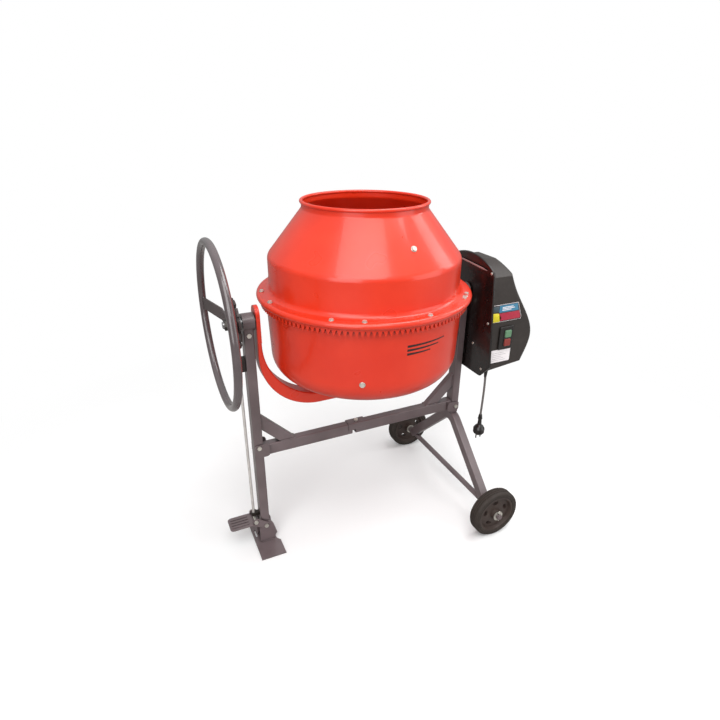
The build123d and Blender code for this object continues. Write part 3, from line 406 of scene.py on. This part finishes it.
def rounded(x0, x1, z0, z1, y, corner, steps=5):
    """A rounded rectangle standing in the plane of one y, seen from -Y."""
    places = []
    for cx, cz, first in (
        (x1 - corner, z1 - corner, 0), (x0 + corner, z1 - corner, 90),
        (x0 + corner, z0 + corner, 180), (x1 - corner, z0 + corner, 270),
    ):
        for k in range(steps + 1):
            turn = radians(first + 90 * k / steps)
            places.append(at(cx + corner * cos(turn), y, cz + corner * sin(turn)))
    return places


# ---------------------------------------------------------------------------
# Drum details
# ---------------------------------------------------------------------------
OUTSIDE_R = 420         # outside the drum, where rays towards it start
SHELL_SEAMS = (
    ("drum_cone", 84, (905, 940, 975, 990, 1000, 1030, 1060, 1090, 1115, 1126)),
    ("drum_bucket", 96, (846, 800, 750, 700, 660)),
)
BLADE_BOLTS = (("drum_cone", -83.5, 1055), ("drum_bucket", -115.8, 694))
BOLT_CLEAR = 12         # past the edge of a blade bolt's hole
BLADE_WASHER = ((6.0, 0.0), (8.4, 0.0), (8.8, 0.5), (8.8, 1.1), (8.3, 1.6), (6.0, 1.6))
RING_WASHER = ((4.0, 0.0), (7.2, 0.0), (7.6, 0.4), (7.6, 0.9), (7.2, 1.3), (4.0, 1.3))
STRIPE_START = -92
STRIPES = ((-66, 802.5), (-71, 790.5), (-77, 778.5))    # last angle and height of each
STRIPE_HALF = 3.5


def on_drum(node, angle, z):
    """A place on the outside of a drum shell, and the normal there."""
    return surface(node, polar(angle, OUTSIDE_R, z), polar(angle, 0, z))


def drum_welds():
    seams = [[on_drum(node, angle, z)[0] for z in heights] for node, angle, heights in SHELL_SEAMS]
    weld(seams, "shell_seams", "drum", "drum_paint", 1.3, pitch=4.0)
    low, high = span("drum_base_plate")
    rim = circle(at(0, 0, low.z + 0.6), UP, high.x + 0.5, 60)
    weld([rim], "base_plate_weld", "drum", "drum_paint", 1.8, closed=True)


def blade_washers():
    seats = []
    for turn in (0, 180):
        for node, angle, z in BLADE_BOLTS:
            # the bolt's hole is skipped by looking just above and below it
            hits = [on_drum(node, angle + turn, z + step) for step in (-BOLT_CLEAR, BOLT_CLEAR)]
            seats.append(((hits[0][0] + hits[1][0]) / 2, hits[0][1]))
    turned(seats, "blade_washers", "drum", "zinc", BLADE_WASHER, 32)


def ring_washers():
    """A washer under each head of the ring bolts, found by the angles where heads stand."""
    head_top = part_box("ring_bolts")[1].z - 0.001
    step = 4
    tops = {}
    for vertex in nodes["ring_bolts"].data.vertices:
        place = vertex.co
        if place.z > head_top:
            turn = round(degrees(atan2(place.y, place.x - DRUM_X)) / step)
            tops.setdefault(turn, []).append(place.copy())
    groups = []
    for turn in sorted(tops):
        if groups and turn - groups[-1][-1] == 1:
            groups[-1].append(turn)
        else:
            groups.append([turn])
    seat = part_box("ring_gear")[1].z
    spots = []
    for group in groups:
        places = [place for turn in group for place in tops[turn]]
        centre = sum(places, Vector()) / len(places)
        spots.append((Vector((centre.x, centre.y, seat)), UP))
    turned(spots, "ring_washers", "drum", "zinc", RING_WASHER, 24)


def bucket_mark():
    """A plain printed mark: three tapering stripes round the bucket."""
    film, lifted, steps = 0.00005, 0.0003, 18
    verts, faces = [], []
    for last, height in STRIPES:
        start = len(verts)
        for k in range(steps + 1):
            angle = STRIPE_START + (last - STRIPE_START) * k / steps
            half = STRIPE_HALF * (1 - 0.55 * k / steps)
            for z, lift in ((-half, film), (-half, lifted), (half, lifted), (half, film)):
                place, normal = on_drum("drum_bucket", angle, height + z)
                verts.append(place + normal * lift)
        faces += [tuple(start + v for v in face) for face in strips(steps + 1, 4, False)]
        faces.append((start + 3, start + 2, start + 1, start))
        faces.append(tuple(range(len(verts) - 4, len(verts))))
    piece("bucket_mark", verts, faces, "drum", "drum_paint", PRINTS["dark"])


# ---------------------------------------------------------------------------
# Yoke and stand details
# ---------------------------------------------------------------------------
PLATE_T = 11            # yoke end plates
YOKE_DEPTH = 33         # yoke arm, from its underside to its inner skin
STRAP_END_X = -462      # where the handwheel's strap meets its rim
STRAP_WELD = (13, 5)    # its ends, measured back from the strap's tip
POST_WELD = (53, 2)     # its ends, measured down from the top of a brace
BRACE_FOOT_X = 252      # start of a brace's lower end, on the crossbar
BRACE_FOOT = 52
FOOT_CHEEKS = (-24.6, -19.4, 19.4, 24.6)
FORK_WELD_Z = 357
AXLE_TUBE_ENDS = (248, 276)


def yoke_details():
    low, high = span("yoke_plates")
    paths = []
    for side in (-1, 1):
        for y in (low.y, high.y):
            ends = (side * (high.x - PLATE_T), side * (high.x - 1))
            paths.append([at(x, y, low.z + 1) for x in ends])
    weld(paths, "yoke_welds", "yoke", "drum_paint", 2.0)

    low, high = span("drum_bearing_housing")
    rings = [circle(at(0, 0, z), UP, high.x + 1, 36) for z in (low.z, low.z + YOKE_DEPTH)]
    weld(rings, "bearing_housing_welds", "yoke", "drum_paint", 2.2, closed=True)

    low, high = span("handwheel_strap")
    paths = []
    for side in (-1, 1):
        for z in (low.z - 0.5, high.z + 0.5):
            paths.append([at(STRAP_END_X, side * y, z) for y in (high.y - end for end in STRAP_WELD)])
    weld(paths, "strap_welds", "yoke", "wheel_paint", 2.0)


def stand_details():
    low, high = span("braces")
    paths = []
    for side in (-1, 1):
        for y in (low.y - 1, high.y + 1):
            paths.append([at(side * high.x, y, z) for z in (high.z - end for end in POST_WELD)])
            ends = (BRACE_FOOT_X, BRACE_FOOT_X + BRACE_FOOT)
            paths.append([at(side * x, y, low.z + 1) for x in ends])
    weld(paths, "brace_welds", "stand", "frame_paint", 2.2)

    low, high = span("axle")
    axis_x, axis_z = (low.x + high.x) / 2, (low.z + high.z) / 2
    rings = []
    for side in (-1, 1):
        for y in AXLE_TUBE_ENDS:
            rings.append(circle(at(axis_x, side * y, axis_z), (0, 1, 0), high.z - axis_z + 1, 24))
    weld(rings, "axle_welds", "stand", "frame_paint", 2.0, closed=True)

    low, high = span("front_post")
    paths = [[at(x, y, low.z + 0.6) for x in (low.x - 5, high.x + 10)] for y in FOOT_CHEEKS]
    weld(paths, "foot_welds", "stand", "frame_paint", 2.0)

    low, high = span("rear_post")
    paths = [[at(x, low.y - 1, FORK_WELD_Z) for x in (low.x + 1, high.x - 1)]]
    weld(paths, "fork_weld", "stand", "frame_paint", 2.4)


SPRING_WIRE = 0.0009    # metres


def spring_coil():
    """The latch rod's return spring: a wire coil with closed ends, built at the CAD spring's length (the real
    spring shortens as the rod goes down).
    """
    low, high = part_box("return_spring")
    centre = middle("return_spring")
    radius = (high.x - low.x) / 2 - SPRING_WIRE
    bottom, height = low.z + SPRING_WIRE, high.z - low.z - 2 * SPRING_WIRE
    turns, around, section = 6, 24, 8
    steps = turns * around
    closed_rise = 0.06      # share of the height that each closed end turn takes
    verts = []
    for k in range(steps + 1):
        turn = 2 * pi * k / around
        climb = min(max((k - around) / (steps - 2 * around), 0.0), 1.0)
        flat = closed_rise * (min(k, around) + max(k - steps + around, 0)) / around
        out = Vector((cos(turn), sin(turn), 0))
        rise = bottom + height * ((1 - 2 * closed_rise) * climb + flat)
        place = Vector((centre.x, centre.y, rise)) + out * radius
        for j in range(section):
            tilt = 2 * pi * j / section
            verts.append(place + SPRING_WIRE * (cos(tilt) * out + sin(tilt) * UP))
    faces = strips(steps + 1, section, False)
    faces += [tuple(range(section - 1, -1, -1)), tuple(range(len(verts) - section, len(verts)))]
    obj = piece("return_spring_coil", verts, faces, "stand", "zinc")
    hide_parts("return_spring")
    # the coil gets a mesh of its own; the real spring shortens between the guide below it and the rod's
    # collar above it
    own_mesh(obj)


def tyres():
    """Tyres with a beaded sidewall and a grooved tread, as (radius, place along the axle)."""
    groove = ((90, -1.6), (88.2, -1.0), (88.2, 1.0), (90, 1.6))
    tread = [(r, y + step) for y in (-8, 0, 8) for r, step in groove]
    half = [(70, -20), (72, -21.2), (75, -22), (77.5, -21.6), (78.5, -20.6), (80, -20.6), (81, -21.2)]
    half += [(84, -20.6), (87, -18.6), (89.2, -15.6), (90, -12.5)]
    profile = half + tread + [(r, -y) for r, y in reversed(half)]
    for name in ("near", "far"):
        node = f"{name}_tyre"
        obj = turned([(middle(node), (0, 1, 0))], f"{name}_tyre_shaped", f"{name}_wheel", "tyre", profile, 96)
        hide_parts(node)


# ---------------------------------------------------------------------------
# Drive details: prints as (x, z) outlines on the drive cover's face
# ---------------------------------------------------------------------------
FILM = 0.25
LABEL = {
    "ground": ("dark", ((408, 743), (536, 743), (536, 752), (517, 803), (408, 803))),
    "blue": ("blue", ((440, 776), (523, 776), (514, 801), (440, 801))),
    "teal": ("teal", ((412, 779), (438, 779), (438, 799), (412, 799))),
    "magenta": ("magenta", ((446, 746), (533, 746), (533, 753), (526, 773), (440, 773))),
    "yellow": ("yellow", ((408, 743), (445, 743), (452, 756), (438, 774), (408, 777))),
}
BARS_X, BAR_HIGH = 452, 2.6
LABEL_BARS = ((782, 490), (787, 504), (792, 497))       # height and right end of each
LINES_X, LINES_X1, LINE_HIGH = 434, 492, 1.2
RAGGED = 9              # how much shorter one line of three is than the line before
STICKER_LINES = (596, 603, 610, 617, 624)


def bar(x0, x1, z, high, y):
    """A flat bar's outline in the plane of one y."""
    return [at(x, y, height) for x, height in ((x0, z), (x1, z), (x1, z + high), (x0, z + high))]


def labels():
    face = span("label_plates")[0].y
    for name, (tint, shape) in LABEL.items():
        y = face if name == "ground" else face - FILM
        outline = [at(x, y, z) for x, z in shape]
        slab([outline], f"label_{name}", "stand", "label", FILM, PRINTS[tint], OUTWARD)
    bars = [bar(BARS_X, right, z, BAR_HIGH, face - 2 * FILM) for z, right in LABEL_BARS]
    slab(bars, "label_bars", "stand", "label", 0.15, None, OUTWARD)
    lines = []
    for k, z in enumerate(STICKER_LINES):
        lines.append(bar(LINES_X, LINES_X1 - RAGGED * (k % 3), z, LINE_HIGH, face))
    slab(lines, "sticker_lines", "stand", "label", 0.2, PRINTS["grey"], OUTWARD)


def screw_heads():
    """Middles of the cover screws' faces that look towards the drum."""
    same_plane, same_screw = 0.0004, 0.012
    mesh = nodes["cover_screws"].data
    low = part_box("cover_screws")[0].x
    faces = [p for p in mesh.polygons if p.normal.x < -0.9 and abs(p.center.x - low) < same_plane]
    spots = []
    for face in faces:
        for spot in spots:
            if (spot[0] / spot[1] - face.center).length < same_screw:
                spot[0] += face.center
                spot[1] += 1
                break
        else:
            spots.append([face.center.copy(), 1])
    return [total / count for total, count in spots]


def screw_recess_shades():
    """A dark cross on each cover screw's head: painted shade standing in for its cross recess."""
    long_half, wide_half = 0.0032, 0.0006
    recess = []
    for place in screw_heads():
        for turn in (radians(45), radians(135)):
            along = Vector((0, cos(turn), sin(turn))) * long_half
            across = Vector((0, -sin(turn), cos(turn))) * wide_half
            recess.append([place + u * along + v * across for u, v in ((-1, -1), (1, -1), (1, 1), (-1, 1))])
    # painted shade: the crosses are a thin raised film in the dark print colour
    slab(recess, "screw_recess_shades", "stand", "zinc", 0.15, PRINTS["dark"], (-1, 0, 0))


def cable_ends():
    """The ribbed gland under the drive cover and the plug's ribbed boot."""
    plug_low, plug_high = span("plug")
    centre = (plug_low + plug_high) / 2
    gland = [(4.2, 2), (9.5, 2), (9.5, -4), (7.6, -5)]
    for k in range(5):
        thin, drop = 0.5 * k, 5 * k
        gland += [(7.4 - thin, -8 - drop), (6.2 - 0.8 * thin, -8.6 - drop)]
        gland += [(6.2 - 0.8 * thin, -11 - drop), (7.1 - thin, -11.6 - drop)]
    gland += [(4.2, -34)]
    seat = span("drive_cover")[0].z + 2
    turned([(at(centre.x, centre.y, seat), UP)], "cable_gland", "stand", "gloss_black", gland, 32)
    boot = [(4.2, 0)]
    for k in range(4):
        boot += [(8.6 - 0.8 * k, 1 + 5 * k), (8.4 - 0.8 * k, 4 + 5 * k), (6.8 - 0.6 * k, 4.6 + 5 * k)]
    boot += [(4.2, 21)]
    seat = plug_high.z - 3
    turned([(at(centre.x, centre.y, seat), UP)], "plug_boot", "stand", "gloss_black", boot, 28)


def button_frames():
    """A raised rim on the switch box around each button."""
    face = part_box("switch_box")[0].y
    for name in ("start", "stop"):
        low, high = span(f"{name}_button")
        outer = rounded(low.x - 3.2, high.x + 3.2, low.z - 2.0, high.z + 2.0, 0, 4)
        inner = rounded(low.x - 0.9, high.x + 0.9, low.z - 0.9, high.z + 0.9, 0, 2.5)
        verts = []
        for ring, lift in ((outer, 0.0), (outer, 0.0012), (inner, 0.0016), (inner, 0.0)):
            verts += [Vector((p.x, face - lift, p.z)) for p in ring]
        piece(f"{name}_button_frame", verts, strips(4, len(outer), True), "stand", "gloss_black")


def panel_crease():
    """The folded lip across the top of the drive's back panel, coloured pale pink as a painted highlight."""
    x = span("drive_tray")[0].x
    section = ((0.3, -3.4), (-0.9, -2.2), (-1.7, 0.0), (-0.9, 2.2), (0.3, 3.4))
    first_y, first_z, across, fall, steps = 60, 926.5, 162, 8.5, 24
    verts = []
    for k in range(steps + 1):
        t = k / steps
        thin = min(1.0, 0.25 + 5 * min(t, 1 - t))
        y, z = first_y - across * t, first_z - fall * t
        verts += [at(x + dx * thin, y, z + dz * thin) for dx, dz in section]
    ends = [(4, 3, 2, 1, 0), tuple(range(len(verts) - 5, len(verts)))]
    piece("panel_crease", verts, strips(steps + 1, 5, False) + ends, "stand", "gloss_black", PRINTS["crease"])


drum_welds()
blade_washers()
ring_washers()
bucket_mark()
yoke_details()
stand_details()
tyres()
spring_coil()
labels()
screw_recess_shades()
cable_ends()
button_frames()
panel_crease()


# ---------------------------------------------------------------------------
# Floor, light and camera
# ---------------------------------------------------------------------------
SKY = (0.35, 0.75)      # strength of the soft light at the horizon and overhead
FADE = (0.7, 1.9)       # metres from the machine over which the floor melts into the backdrop


def floor():
    bpy.ops.mesh.primitive_plane_add(size=30, location=(0, 0, 0))
    plane = bpy.context.object
    plane.name = "floor"
    s = Shader("pale_floor")
    seen = s.add("ShaderNodeLightPath").outputs["Is Camera Ray"]
    pale = s.mix(s.ramp(s.noise(2, 3), 0.3, 0.7, 0, 1), srgb(250, 250, 250), srgb(247, 247, 247))
    s.set(Base_Color=s.mix(seen, (0.34, 0.33, 0.32, 1), pale), Roughness=0.7)
    reach = s.add("ShaderNodeVectorMath", operation="LENGTH")
    s.link(s.place, reach.inputs[0])
    fade = s.times(s.ramp(reach.outputs["Value"], *FADE, 0.0, 1.0), seen)
    glow = s.add("ShaderNodeEmission")
    blend = s.add("ShaderNodeMixShader")
    s.link(fade, blend.inputs[0])
    s.link(s.bsdf.outputs[0], blend.inputs[1])
    s.link(glow.outputs[0], blend.inputs[2])
    s.link(blend.outputs[0], s.tree.nodes["Material Output"].inputs["Surface"])
    plane.data.materials.append(s.material)


def sky():
    """Soft light, stronger overhead, that the camera sees as plain white."""
    world = bpy.data.worlds.new("soft_light")
    world.use_nodes = True
    tree = world.node_tree
    backdrop = tree.nodes["Background"]
    way = tree.nodes.new("ShaderNodeTexCoord")
    split = tree.nodes.new("ShaderNodeSeparateXYZ")
    strength = tree.nodes.new("ShaderNodeMapRange")
    path = tree.nodes.new("ShaderNodeLightPath")
    pick = tree.nodes.new("ShaderNodeMix")
    strength.inputs["From Min"].default_value = 0.0
    strength.inputs["From Max"].default_value = 0.9
    strength.inputs["To Min"].default_value = SKY[0]
    strength.inputs["To Max"].default_value = SKY[1]
    pick.inputs[3].default_value = 1.0
    for source, target in (
        (way.outputs["Generated"], split.inputs[0]), (split.outputs["Z"], strength.inputs["Value"]),
        (path.outputs["Is Camera Ray"], pick.inputs[0]), (strength.outputs["Result"], pick.inputs[2]),
        (pick.outputs[0], backdrop.inputs["Strength"]),
    ):
        tree.links.new(source, target)
    backdrop.inputs["Color"].default_value = (1, 1, 1, 1)
    bpy.context.scene.world = world


def softbox(name, place, target, size, power):
    data = bpy.data.lights.new(name, "AREA")
    data.shape = "RECTANGLE"
    data.size, data.size_y = size
    data.energy = power
    light = bpy.data.objects.new(name, data)
    light.location = place
    light.rotation_euler = (target - place).to_track_quat("-Z", "Y").to_euler()
    bpy.context.scene.collection.objects.link(light)


def camera():
    yaw, pitch, roll = radians(25.12), radians(25.38), radians(0.48)
    forward = Vector((cos(pitch) * sin(yaw), cos(pitch) * cos(yaw), -sin(pitch)))
    level = forward.cross(UP).normalized()
    right = level * cos(roll) + level.cross(forward) * sin(roll)
    up = right.cross(forward)
    data = bpy.data.cameras.new("camera")
    data.lens = 26.295
    data.sensor_width = 36
    cam = bpy.data.objects.new("camera", data)
    axes = Matrix((right, up, -forward)).transposed().to_4x4()
    cam.matrix_world = Matrix.Translation(at(-687.4, -1441.0, 1386.0)) @ axes
    bpy.context.scene.collection.objects.link(cam)
    bpy.context.scene.camera = cam


floor()
sky()
mouth, heart = at(0, 0, 1060), at(0, 0, 800)
softbox("over_camera", at(-900, -1700, 3200), mouth, (2.6, 2.2), 58)
softbox("right_strip", at(2200, -150, 1950), mouth, (0.7, 1.4), 9)
softbox("right_fill", at(1900, -1700, 1300), heart, (1.8, 1.8), 15)
softbox("mouth_light", at(900, -250, 3000), at(-60, 0, 1100), (1.3, 1.3), 26)
softbox("front_left", at(-2000, -2000, 1500), heart, (1.8, 1.8), 28)
bpy.context.scene.view_settings.view_transform = "Standard"
camera()
